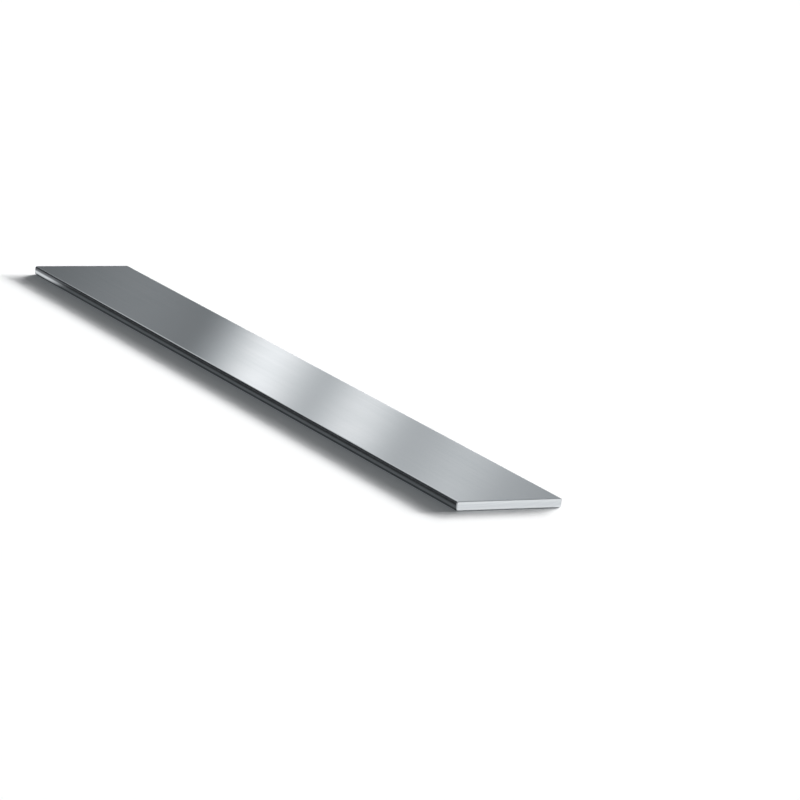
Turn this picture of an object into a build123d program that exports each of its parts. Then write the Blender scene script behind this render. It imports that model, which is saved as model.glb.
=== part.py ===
from build123d import *
import os

# A cut length of bright steel flat bar, 60 x 5 mm in section, lying on its wide underside.
#
# X runs along the bar, Y across its width and Z up through its thickness. The origin is the
# centre of the underside. The stock leaves the mill as one rolled and drawn strip: the two
# wide faces are flat, and the two narrow edges keep only a flat land along their middle,
# from which the steel eases back to the four rounded long corners. The length is then sawn
# off square, and the rim of each sawn end is filed to a small bevel to take the burr off.

# Driving dimensions, in millimetres.
bar_length = 500.0  # sawn end to sawn end
bar_width = 60.0  # land to land of the narrow edges
bar_thickness = 5.0  # wide face to wide face
edge_land = 1.6  # height of the flat land along the middle of a narrow edge
edge_ease = 0.1  # how far a narrow edge falls back from its land to its corners
corner_radius = 1.0  # rounding of the four long corners
end_bevel = 0.4  # filed rim of the two sawn ends, measured along each face

# The rolled section is drawn about its own centre, at one sawn end: U across the width,
# V up through the thickness. Each narrow edge leaves its land straight up, on an arc that
# meets the wide face at a corner. The lower half mirrors the upper one.
half_width = bar_width / 2
half_thickness = bar_thickness / 2
half_land = edge_land / 2
corner_u = half_width - edge_ease
saw_plane = Plane(origin=(-bar_length / 2, 0, half_thickness), x_dir=(0, 1, 0), z_dir=(1, 0, 0))

with BuildPart() as flat_bar:
    with BuildSketch(saw_plane) as section:
        with BuildLine():
            for side in (-1, 1):
                land_end = (side * half_width, half_land)
                corner = (side * corner_u, half_thickness)
                Line((side * half_width, 0), land_end)
                TangentArc(land_end, corner, tangent=(0, 1))
            Line((-corner_u, half_thickness), (corner_u, half_thickness))
            mirror(about=Plane.XZ)
        make_face()
        heights = section.vertices().group_by(Axis.Y)
        fillet(heights[0] + heights[-1], radius=corner_radius)
    extrude(amount=bar_length)

    # Both sawn ends are deburred right round their rims.
    sawn_ends = flat_bar.faces().filter_by(Axis.X)
    chamfer(sawn_ends.edges(), length=end_bevel)

flat_bar.part.label = "flat_bar"

os.makedirs("parts", exist_ok=True)
export_step(flat_bar.part, "parts/flat_bar.step")
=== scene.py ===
import math

import bmesh
import bpy
from mathutils import Matrix, Vector


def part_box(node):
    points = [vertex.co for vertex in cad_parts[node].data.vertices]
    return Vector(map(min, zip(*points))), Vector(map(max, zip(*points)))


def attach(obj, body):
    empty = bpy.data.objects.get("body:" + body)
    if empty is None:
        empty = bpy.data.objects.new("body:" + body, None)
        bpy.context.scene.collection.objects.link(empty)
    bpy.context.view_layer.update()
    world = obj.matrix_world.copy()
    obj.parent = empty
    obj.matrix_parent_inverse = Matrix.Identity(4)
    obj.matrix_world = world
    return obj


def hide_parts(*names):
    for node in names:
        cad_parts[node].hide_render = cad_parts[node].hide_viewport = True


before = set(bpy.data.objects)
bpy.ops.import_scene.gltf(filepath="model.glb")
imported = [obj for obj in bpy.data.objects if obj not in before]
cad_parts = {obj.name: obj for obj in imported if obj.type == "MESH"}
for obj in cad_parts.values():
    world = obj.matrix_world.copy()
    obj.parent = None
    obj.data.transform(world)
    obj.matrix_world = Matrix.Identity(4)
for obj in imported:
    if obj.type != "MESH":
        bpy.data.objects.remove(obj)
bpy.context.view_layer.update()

# ---- The flat bar --------------------------------------------------------------------------
# One cut length of bright mild steel flat. It was rolled and drawn as a strip, so its narrow
# edges ease back from a flat land to rounded corners. It was then sawn off square, and the
# rims of both sawn ends were filed to a small bevel.

MM = 0.001
EDGE_LAND = 1.6 * MM  # height of the flat land along the middle of a narrow edge
EDGE_EASE = 0.1 * MM  # how far a narrow edge falls back from its land to its corners
CORNER_RADIUS = 1.0 * MM  # rounding of the four long corners
END_BEVEL = 0.4 * MM  # filed rim of the two sawn ends, measured along each face
EASE_CUTS = 3  # cuts that shape each half of a narrow edge, the first at its land's border
CORNER_SEGMENTS = 8  # strips that round a long corner
SQUARE_ON = 0.999  # a face whose normal has this much of an axis points along it
BRIGHT_REACH = 30.0  # degrees round a long corner that the wide face's finish reaches

bar_low, bar_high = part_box("flat_bar")
half_length, half_width, half_thickness = (bar_high - bar_low) / 2
bar_middle = (bar_low + bar_high) / 2


def ease_at(height):
    """How far the section has fallen back at a height: an arc that leaves the land upright."""
    rise = half_thickness - EDGE_LAND / 2
    arc_radius = (rise**2 + EDGE_EASE**2) / (2 * EDGE_EASE)
    above_land = max(0.0, abs(height) - EDGE_LAND / 2)
    return arc_radius - math.sqrt(arc_radius**2 - above_land**2)


def bevel(bm, edges, offset, segments):
    bmesh.ops.bevel(
        bm, geom=edges, offset=offset, affect="EDGES", segments=segments, profile=0.5, material=-1
    )
    bm.normal_update()


bm = bmesh.new()
bmesh.ops.create_cube(bm, size=2.0)
bmesh.ops.scale(bm, vec=(half_length, half_width, half_thickness), verts=bm.verts)
long_corners = [edge for edge in bm.edges if edge.calc_length() > half_length]
bevel(bm, long_corners, CORNER_RADIUS, CORNER_SEGMENTS)

# Above and below its land, each narrow edge is cut into strips. The section is then eased back.
corner_start = half_thickness - CORNER_RADIUS
for cut in range(EASE_CUTS):
    height = EDGE_LAND / 2 + cut * (corner_start - EDGE_LAND / 2) / EASE_CUTS
    for side in (-1, 1):
        strips = [face for face in bm.faces if abs(face.normal.y) > SQUARE_ON]
        borders = {part for face in strips for part in (*face.edges, *face.verts)}
        bmesh.ops.bisect_plane(
            bm, geom=[*strips, *borders], plane_co=(0, 0, side * height), plane_no=(0, 0, 1)
        )
for vert in bm.verts:
    vert.co.y -= math.copysign(ease_at(vert.co.z), vert.co.y)

# A rim is the line of edges where a sawn end meets the rest.
rims = [
    edge
    for edge in bm.edges
    if sorted(abs(face.normal.x) > SQUARE_ON for face in edge.link_faces) == [False, True]
]
bevel(bm, rims, END_BEVEL, 1)
bmesh.ops.translate(bm, vec=bar_middle, verts=bm.verts)

FACE, EDGE, END, RIM = range(4)  # in the order in which the finishes are added
for face in bm.faces:
    face.smooth = True
    if abs(face.normal.x) > SQUARE_ON:
        face.material_index = END
    elif abs(face.calc_center_median().x) > half_length - END_BEVEL:
        face.material_index = RIM
    elif abs(face.normal.z) > math.cos(math.radians(BRIGHT_REACH)):
        face.material_index = FACE
    else:
        face.material_index = EDGE

# The file left a crisp line on both sides of a rim.
for edge in bm.edges:
    filed = [face.material_index == RIM for face in edge.link_faces]
    edge.smooth = filed[0] == filed[1]

bar_mesh = bpy.data.meshes.new("steel_flat_bar")
bm.to_mesh(bar_mesh)
bm.free()
bar = bpy.data.objects.new("steel_flat_bar", bar_mesh)
bpy.context.scene.collection.objects.link(bar)
flat_faces_stay_flat = bar.modifiers.new("flat_faces_stay_flat", "WEIGHTED_NORMAL")
flat_faces_stay_flat.keep_sharp = True


def linear(hex_colour):
    """An sRGB hex colour as the linear RGBA that the shaders work in."""
    channels = [int(hex_colour[place : place + 2], 16) / 255 for place in (1, 3, 5)]
    return [c / 12.92 if c <= 0.04045 else ((c + 0.055) / 1.055) ** 2.4 for c in channels] + [1.0]


def add(tree, kind, inputs=(), **settings):
    """Adds a shader node with its settings. An input is a value, a socket, or a node, which
    gives its first output."""
    made = tree.nodes.new("ShaderNode" + kind)
    for name, value in settings.items():
        setattr(made, name, value)
    for name, value in dict(inputs).items():
        if isinstance(value, bpy.types.Node):
            value = value.outputs[0]
        if isinstance(value, bpy.types.NodeSocket):
            tree.links.new(value, made.inputs[name])
        else:
            made.inputs[name].default_value = value
    return made


def new_material(name):
    material = bpy.data.materials.new(name)
    material.use_nodes = True
    material.node_tree.nodes.clear()
    return material, material.node_tree


def streaks(tree, pitch, **detail):
    """Noise with a pitch of its own along X, Y and Z, in metres."""
    place = add(tree, "TexCoord").outputs["Object"]
    laid = add(tree, "Mapping", {"Vector": place, "Scale": [1 / step for step in pitch]})
    return add(tree, "TexNoise", {"Vector": laid, "Scale": 1.0, "Detail": 2.0, **detail})


def off_height(tree, height):
    """How far above or below a height a point of the bar is."""
    place = add(tree, "SeparateXYZ", {0: add(tree, "TexCoord").outputs["Object"]})
    above = add(tree, "Math", {0: place.outputs["Z"], 1: height}, operation="SUBTRACT")
    return add(tree, "Math", {0: above}, operation="ABSOLUTE")


def steel(name, pattern, colours, roughnesses, depth):
    """A finish of the bar's steel: its pattern gives a tone, which picks between two colours
    and two roughnesses, and a relief, which stands out by the depth."""
    material, tree = new_material(name)
    tone, relief = pattern(tree)
    first_colour, second_colour = (linear(colour) for colour in colours)
    first_rough, second_rough = roughnesses
    colour = {"Factor": tone, 6: first_colour, 7: second_colour}
    surface = {
        "Base Color": add(tree, "Mix", colour, data_type="RGBA").outputs[2],
        "Metallic": 1.0,
        "Roughness": add(tree, "MapRange", {"Value": tone, "To Min": first_rough, "To Max": second_rough}),
        "Normal": add(tree, "Bump", {"Strength": 1.0, "Distance": depth, "Height": relief}),
    }
    add(tree, "OutputMaterial", {"Surface": add(tree, "BsdfPrincipled", surface)})
    bar_mesh.materials.append(material)


# Pitches along X, Y and Z. Real die lines are 0.1 to 0.3 mm apart: they are drawn at 0.8 mm, so
# that they show.
DIE_LINES = (120 * MM, 0.8 * MM, 0.8 * MM)
DIE_BANDS = (400 * MM, 6 * MM, 6 * MM)
CLOUDS = (40 * MM, 40 * MM, 40 * MM)
BANDS_SHARE = 0.5  # how much the bands count beside the lines
CLOUDS_SHARE = 0.7
DRAWN_LEAST = 0.75  # the three add up to about this at least
DRAWN_MOST = 1.45


def drawn_pattern(tree):
    lines = streaks(tree, DIE_LINES)
    bands = streaks(tree, DIE_BANDS)
    clouds = streaks(tree, CLOUDS, Detail=3.0)
    tone = add(tree, "Math", {0: bands, 1: BANDS_SHARE, 2: lines}, operation="MULTIPLY_ADD")
    tone = add(tree, "Math", {0: clouds, 1: CLOUDS_SHARE, 2: tone}, operation="MULTIPLY_ADD")
    tone = {"Value": tone, "From Min": DRAWN_LEAST, "From Max": DRAWN_MOST}
    return add(tree, "MapRange", tone), lines


ROLL_LINES = (70 * MM, 0.4 * MM, 0.4 * MM)  # pitches along X, Y and Z
BRIGHT_BAND_PAINTED_DROP = 0.5 * MM  # how far the bright band lies below the middle of the edge: a painted drop, so that the painted shade above it is wider
BRIGHT_BAND_WANDER = 0.5 * MM  # how far the rolling lines push its borders in, at most
BRIGHT_BAND_FULL = 0.5 * MM  # distance from its middle at which it starts to fade
BRIGHT_BAND_END = 1.6 * MM  # distance from its middle at which only the dark is left: part rolled skin, part painted shade


# The bright band is part burnish and part painted reflection. The dark beside it is part rolled skin and
# part painted shade.
def edge_skin_and_painted_shade_pattern(tree):
    lines = streaks(tree, ROLL_LINES)
    off_bright_band = off_height(tree, bar_middle.z - BRIGHT_BAND_PAINTED_DROP)
    off_bright_band = {0: lines, 1: BRIGHT_BAND_WANDER, 2: off_bright_band}
    off_bright_band = add(tree, "Math", off_bright_band, operation="MULTIPLY_ADD")
    tone = {"Value": off_bright_band, "From Min": BRIGHT_BAND_FULL, "From Max": BRIGHT_BAND_END}
    return add(tree, "MapRange", tone, interpolation_type="SMOOTHSTEP"), lines


# Tooth marks are arcs round the blade's axle. Real ones are 0.1 to 0.2 mm apart: they are drawn at 0.6 mm,
# so that they show. The cut is coloured brighter and smoother towards its top and bottom than in its
# middle.
SAW_AXLE = Vector((0, -22, 160)) * MM
TOOTH_PITCH = 0.6 * MM
RIMWARD_START = 0.4 * MM  # off the middle of the thickness
RIMWARD_FULL = 1.6 * MM
RIMWARD_SHARE = 0.45  # how much the brightening towards top and bottom counts beside the tooth marks
SAWN_LEAST = 0.3  # the two add up to about this at least
SAWN_MOST = 1.1


def sawn_pattern(tree):
    place = add(tree, "TexCoord").outputs["Object"]
    off_axle = add(tree, "Mapping", {"Vector": place, "Location": -SAW_AXLE, "Scale": (0, 1, 1)})
    radius = add(tree, "VectorMath", {0: off_axle}, operation="LENGTH").outputs["Value"]
    teeth = {"W": radius, "Scale": 1 / TOOTH_PITCH, "Detail": 2.0}
    teeth = add(tree, "TexNoise", teeth, noise_dimensions="1D")
    rimward = off_height(tree, bar_middle.z)
    rimward = {"Value": rimward, "From Min": RIMWARD_START, "From Max": RIMWARD_FULL}
    rimward = add(tree, "MapRange", rimward, interpolation_type="SMOOTHSTEP")
    tone = add(tree, "Math", {0: rimward, 1: RIMWARD_SHARE, 2: teeth}, operation="MULTIPLY_ADD")
    tone = {"Value": tone, "From Min": SAWN_LEAST, "From Max": SAWN_MOST}
    return add(tree, "MapRange", tone), teeth


FILE_STROKES = (0.4 * MM, 4 * MM, 0.4 * MM)  # pitches along X, Y and Z
FILED_LEAST = 0.3
FILED_MOST = 0.7


def filed_pattern(tree):
    strokes = streaks(tree, FILE_STROKES)
    tone = {"Value": strokes, "From Min": FILED_LEAST, "From Max": FILED_MOST}
    return add(tree, "MapRange", tone), strokes


# Bright drawn steel: a satin face that mirrors its surroundings softly, with fine lines along it.
steel(
    "bright_drawn_steel_face",
    drawn_pattern,
    colours=("#C5C9CC", "#CED0D3"),
    roughnesses=(0.095, 0.065),
    depth=0.001 * MM,
)

# Rolled steel edge: a bright band runs along it a little below its middle, and dark lies on both sides of
# the band and over the rest of the rounded corners. Part of the band is a land burnished by the die, and
# part of the dark is a rolled skin. The rest is painted reflection and painted shade, which makes the edge
# darker above the band and lighter below it, as if it mirrored dark surroundings.
steel(
    "rolled_steel_edge",
    edge_skin_and_painted_shade_pattern,
    colours=("#C6C9CC", "#505357"),
    roughnesses=(0.14, 0.24),
    depth=0.002 * MM,
)

# Cold-sawn steel: the brightest surface, because it is freshly cut, with the arcs of the teeth.
steel(
    "cold_sawn_steel_end",
    sawn_pattern,
    colours=("#D8DBDE", "#E6E8EA"),
    roughnesses=(0.42, 0.34),
    depth=0.01 * MM,
)

# Filed steel: duller than the cut, with short strokes along the rim.
steel(
    "filed_steel_rim",
    filed_pattern,
    colours=("#989B9E", "#A9ACAF"),
    roughnesses=(0.34, 0.26),
    depth=0.005 * MM,
)

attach(bar, "root")
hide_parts("flat_bar")

# ---- The camera ----------------------------------------------------------------------------
# A long lens stands a little above the table, off the near end of the bar and to one side, and
# looks back along the bar. It leans a little to the left.

CAMERA_LENS = 202.9  # millimetres
SENSOR_WIDTH = 36.0
CAMERA_REACH = 2.39  # metres between the camera and the point that it aims at
CAMERA_TURN = 59.7  # degrees round from -Y towards +X
CAMERA_RISE = 13.3  # degrees above the table
CAMERA_LEAN = 6.5  # degrees that its top leans to the left
AIM_OFF_MIDDLE = Vector((60.5, 42.2, 0)) * MM  # from the middle of the bar's top face
FURTHEST_SEEN = 100.0  # metres

camera_data = bpy.data.cameras.new("camera")
camera_data.lens = CAMERA_LENS
camera_data.sensor_width = SENSOR_WIDTH
camera_data.clip_end = FURTHEST_SEEN
camera = bpy.data.objects.new("camera", camera_data)
bpy.context.scene.collection.objects.link(camera)
aim = Vector((bar_middle.x, bar_middle.y, bar_high.z)) + AIM_OFF_MIDDLE
camera.matrix_world = (
    Matrix.Translation(aim)
    @ Matrix.Rotation(math.radians(CAMERA_TURN), 4, "Z")
    @ Matrix.Rotation(math.radians(90 - CAMERA_RISE), 4, "X")
    @ Matrix.Rotation(math.radians(CAMERA_LEAN), 4, "Z")
    @ Matrix.Translation((0, 0, CAMERA_REACH))
)
bpy.context.scene.camera = camera

# ---- The table -----------------------------------------------------------------------------
# A plain matt white studio table carries the bar, and reaches past every view. What the camera
# and the steel see of it is lifted a little, so that its far parts stay white.

TABLE_SIZE = 14.0  # metres each way
TABLE_LIFT = 0.064  # level that is added to what is seen of it
TABLE_WHITE = linear("#FAFAFA")
COOL_WHITE = linear("#F2FAFF")

bm = bmesh.new()
bmesh.ops.create_grid(bm, x_segments=1, y_segments=1, size=TABLE_SIZE / 2)
bmesh.ops.translate(bm, vec=(0, 0, bar_low.z), verts=bm.verts)
table_mesh = bpy.data.meshes.new("studio_table")
bm.to_mesh(table_mesh)
bm.free()
table = bpy.data.objects.new("studio_table", table_mesh)
bpy.context.scene.collection.objects.link(table)

material, tree = new_material("matt_white_table")
path = add(tree, "LightPath")
rays = {0: path.outputs["Is Camera Ray"], 1: path.outputs["Is Glossy Ray"]}
seen = add(tree, "Math", rays, operation="MAXIMUM")
lift = add(tree, "Math", {0: seen, 1: TABLE_LIFT}, operation="MULTIPLY")
matt = add(tree, "BsdfDiffuse", {"Color": TABLE_WHITE})
glow = add(tree, "Emission", {"Color": COOL_WHITE, "Strength": lift})
add(tree, "OutputMaterial", {"Surface": add(tree, "AddShader", {0: matt, 1: glow})})
table_mesh.materials.append(material)

# ---- The lamps -----------------------------------------------------------------------------
# A row of five low key lamps behind the bar lights the table, and gives the bar its broad
# shadow. Two wider lamps soften the shadow. The steel mirrors the tent instead of the lamps.

KEY_SIDES = (-40, -30, -20, -10, 0)  # degrees from +Y towards +X
KEY_RISE = 11.5  # degrees above the table
KEY_SPREAD = 6.0  # degrees
KEY_POWER = 2.4

# A lamp's name, side, rise, spread and power, in the same units.
LAMPS = [
    (f"key_lamp_{place}", side, KEY_RISE, KEY_SPREAD, KEY_POWER)
    for place, side in enumerate(KEY_SIDES)
]
LAMPS.append(("wide_key_lamp", -30, 16.0, 12.0, 1.6))
LAMPS.append(("soft_side_lamp", -40, 30.0, 36.0, 0.35))
for name, side, rise, spread, power in LAMPS:
    lamp_data = bpy.data.lights.new(name, "SUN")
    lamp_data.energy = power
    lamp_data.angle = math.radians(spread)
    lamp = bpy.data.objects.new(name, lamp_data)
    bpy.context.scene.collection.objects.link(lamp)
    lamp.rotation_euler = (math.radians(rise - 90), 0, math.radians(-side))
    lamp.visible_glossy = False

# ---- The light tent ------------------------------------------------------------------------
# A round tent of white cloth stands over the table, and only the bar's reflections see it.
# Its lower wall is dim, with slanting strips of light that repeat each quarter of the way
# round. Its upper wall and its roof are bright, and swell and fade softly.

TENT_RADIUS = 0.9  # metres, as all the tent's sizes that don't say otherwise
TENT_HEIGHT = 0.9
TENT_SEGMENTS = 192
QUARTER = TENT_RADIUS * math.pi / 2  # the wall's length over a quarter of the way round
LEAN = 0.5  # how far the strips move along the wall for each metre up it
DIM_CLOTH = 0.19
WASH_LEVEL = 0.37  # a broad wash of light behind the strips
WASH_RISE = (0.50, 0.56)  # along the quarter
WASH_FALL = (0.72, 0.95)
STRIPS = [
    # Centre along the quarter and half width, in millimetres, and level.
    (130, 60, 0.40),
    (430, 100, 0.10),
    (540, 60, 0.70),
    (635, 45, 0.45),
    (730, 45, 0.15),
    (1270, 120, 0.20),
]
UPPER_START = 0.30  # height at which the lower wall starts to turn into the upper one
UPPER_FULL = 0.42
UPPER_LEVEL = 0.85
UPPER_SWELL = 0.30
UPPER_SWELLS = 12.0  # how many times the upper wall swells on the way round
ROOF_LEVEL = 0.70
ROOF_SWELL = 0.25
ROOF_WAVES = 8.0  # radians of a swell for each metre along X
ROOF_SLANT = 0.6  # how much a metre along Y counts beside one along X
FLAG_LEVEL = 0.16
FLAG_LEFT = (-50.0, -44.0)  # degrees round the tent: its border, and where it is full
FLAG_RIGHT = (-3.0, -8.0)
FLAG_TOP = (0.62, 0.54)  # heights of its border, and where it is full
NEUTRAL_WHITE = linear("#FCFEFF")
GLOW_STRENGTH = 1.03  # what a level of 1 shines with
SOLID = 1.0  # the cover of a piece that nothing shows through


def add_reflector(name, bm, glow_pattern):
    """A stage piece that glows, and that only reflections see. Its pattern gives its level, which
    is cooler where it is dim, and its cover, from sheer to solid."""
    material, tree = new_material(name)
    place = add(tree, "SeparateXYZ", {0: add(tree, "TexCoord").outputs["Object"]})
    level, cover = glow_pattern(tree, place.outputs)
    colour = add(tree, "Mix", {"Factor": level, 6: COOL_WHITE, 7: NEUTRAL_WHITE}, data_type="RGBA")
    strength = add(tree, "Math", {0: level, 1: GLOW_STRENGTH}, operation="MULTIPLY")
    glow = add(tree, "Emission", {"Color": colour.outputs[2], "Strength": strength})
    covered = add(tree, "MixShader", {0: cover, 1: add(tree, "BsdfTransparent"), 2: glow})
    add(tree, "OutputMaterial", {"Surface": covered})
    reflector_mesh = bpy.data.meshes.new(name)
    bm.to_mesh(reflector_mesh)
    bm.free()
    reflector_mesh.materials.append(material)
    reflector = bpy.data.objects.new(name, reflector_mesh)
    bpy.context.scene.collection.objects.link(reflector)
    reflector.visible_camera = False
    reflector.visible_diffuse = False
    reflector.visible_shadow = False


def wall_glow(tree, place):
    turn = add(tree, "Math", {0: place["X"], 1: -1.0}, operation="MULTIPLY")
    turn = add(tree, "Math", {0: place["Y"], 1: turn}, operation="ARCTAN2")
    along = add(tree, "Math", {0: turn, 1: TENT_RADIUS}, operation="MULTIPLY")
    along = add(tree, "Math", {0: place["Z"], 1: LEAN, 2: along}, operation="MULTIPLY_ADD")
    along = add(tree, "Math", {0: along, 1: QUARTER}, operation="FLOORED_MODULO")

    # Each light comes on softly between its start and where it is full. The wash comes on, and is
    # then taken off again.
    lights = [(along, *WASH_RISE, WASH_LEVEL), (along, *WASH_FALL, -WASH_LEVEL)]
    for centre, reach, level in STRIPS:
        away = add(tree, "Math", {0: along, 1: centre * MM}, operation="SUBTRACT")
        away = add(tree, "Math", {0: away}, operation="ABSOLUTE")
        lights.append((away, reach * MM, 0.0, level))
    lower = DIM_CLOTH
    for distance, start, full, level in lights:
        light = {"Value": distance, "From Min": start, "From Max": full, "To Max": level}
        light = add(tree, "MapRange", light, interpolation_type="SMOOTHSTEP")
        lower = add(tree, "Math", {0: light, 1: lower}, operation="ADD")

    swell = add(tree, "Math", {0: turn, 1: UPPER_SWELLS}, operation="MULTIPLY")
    swell = add(tree, "Math", {0: swell}, operation="SINE")
    upper = add(tree, "Math", {0: swell, 1: UPPER_SWELL, 2: UPPER_LEVEL}, operation="MULTIPLY_ADD")
    high_up = {"Value": place["Z"], "From Min": UPPER_START, "From Max": UPPER_FULL}
    high_up = add(tree, "MapRange", high_up, interpolation_type="SMOOTHSTEP")
    walls = add(tree, "Mix", {"Factor": high_up, 2: lower, 3: upper}, data_type="FLOAT")

    # A dark flag hangs low where the rounded long corner on the -Y side mirrors it.
    degrees = add(tree, "Math", {0: turn}, operation="DEGREES")
    flag = 1.0
    borders = ((place["Z"], *FLAG_TOP), (degrees, *FLAG_LEFT), (degrees, *FLAG_RIGHT))
    for distance, start, full in borders:
        border = {"Value": distance, "From Min": start, "From Max": full}
        border = add(tree, "MapRange", border, interpolation_type="SMOOTHSTEP")
        flag = add(tree, "Math", {0: flag, 1: border}, operation="MULTIPLY")
    walls = add(tree, "Mix", {"Factor": flag, 2: walls, 3: FLAG_LEVEL}, data_type="FLOAT")
    return walls, SOLID


def roof_glow(tree, place):
    across = {0: place["Y"], 1: ROOF_SLANT, 2: place["X"]}
    across = add(tree, "Math", across, operation="MULTIPLY_ADD")
    swell = add(tree, "Math", {0: across, 1: ROOF_WAVES}, operation="MULTIPLY")
    swell = add(tree, "Math", {0: swell}, operation="SINE")
    level = add(tree, "Math", {0: swell, 1: ROOF_SWELL, 2: ROOF_LEVEL}, operation="MULTIPLY_ADD")
    return level, SOLID


bm = bmesh.new()
bmesh.ops.create_cone(
    bm,
    cap_ends=False,
    segments=TENT_SEGMENTS,
    radius1=TENT_RADIUS,
    radius2=TENT_RADIUS,
    depth=TENT_HEIGHT,
)
bmesh.ops.translate(bm, vec=(0, 0, bar_low.z + TENT_HEIGHT / 2), verts=bm.verts)
add_reflector("tent_wall", bm, wall_glow)

bm = bmesh.new()
bmesh.ops.create_circle(bm, cap_ends=True, segments=TENT_SEGMENTS, radius=TENT_RADIUS)
bmesh.ops.translate(bm, vec=(0, 0, bar_low.z + TENT_HEIGHT), verts=bm.verts)
add_reflector("tent_roof", bm, roof_glow)

# ---- The reflector cards -------------------------------------------------------------------
# White cards lie on the table, and only the bar's reflections see them. The near end and the far
# tip of the -Y edge would otherwise mirror the bar's own shadow. The far end has a card to match
# the near one. The top face never mirrors the cards, because they lie below it.

CARD_GAP = 1 * MM  # bare table between the bar and a card
END_CARD_LENGTH = 300 * MM
END_CARD_WIDTH = 400 * MM
EDGE_CARD_LENGTH = 39 * MM
EDGE_CARD_WIDTH = 100 * MM
CARD_LIFT = 0.2 * MM  # above the table, so that the table doesn't hide it
CARD_LEVEL = 1.0
CARD_SHEER = 36 * MM  # how far before the sawn ends a card is still sheer
CARD_SOLID = 7 * MM  # how far before the sawn ends it is solid


def card_glow(tree, place):
    along = add(tree, "Math", {0: place["X"]}, operation="ABSOLUTE")
    sheer = half_length - CARD_SHEER
    cover = {"Value": along, "From Min": sheer, "From Max": half_length - CARD_SOLID}
    return CARD_LEVEL, add(tree, "MapRange", cover, interpolation_type="SMOOTHSTEP")


# A card's name, its length along X, its width along Y, and where its middle lies.
end_card_x = half_length + CARD_GAP + END_CARD_LENGTH / 2
edge_card_x = half_length + CARD_GAP - EDGE_CARD_LENGTH / 2
edge_card_y = half_width + CARD_GAP + EDGE_CARD_WIDTH / 2
CARDS = (
    ("near_end_card", END_CARD_LENGTH, END_CARD_WIDTH, end_card_x, 0.0),
    ("far_end_card", END_CARD_LENGTH, END_CARD_WIDTH, -end_card_x, 0.0),
    ("far_edge_card", EDGE_CARD_LENGTH, EDGE_CARD_WIDTH, -edge_card_x, -edge_card_y),
)
for name, length, width, middle_x, middle_y in CARDS:
    bm = bmesh.new()
    bmesh.ops.create_grid(bm, x_segments=1, y_segments=1, size=0.5)
    bmesh.ops.scale(bm, vec=(length, width, 1), verts=bm.verts)
    bmesh.ops.translate(bm, vec=(middle_x, middle_y, bar_low.z + CARD_LIFT), verts=bm.verts)
    add_reflector(name, bm, card_glow)

# ---- The room ------------------------------------------------------------------------------
# A white room stands behind everything. The camera sees it plain white, and it gives the table
# and its shadows a little cool fill light.

ROOM_FILL = 0.05
ROOM_WHITE = linear("#FFFFFF")

world = bpy.data.worlds.new("white_room")
bpy.context.scene.world = world
world.use_nodes = True
tree = world.node_tree
tree.nodes.clear()
seen = add(tree, "LightPath").outputs["Is Camera Ray"]
fill = add(tree, "Background", {"Color": COOL_WHITE, "Strength": ROOM_FILL})
backdrop = add(tree, "Background", {"Color": ROOM_WHITE, "Strength": 1.0})
add(tree, "OutputWorld", {"Surface": add(tree, "MixShader", {0: seen, 1: fill, 2: backdrop})})

bpy.context.scene.view_settings.view_transform = "Standard"
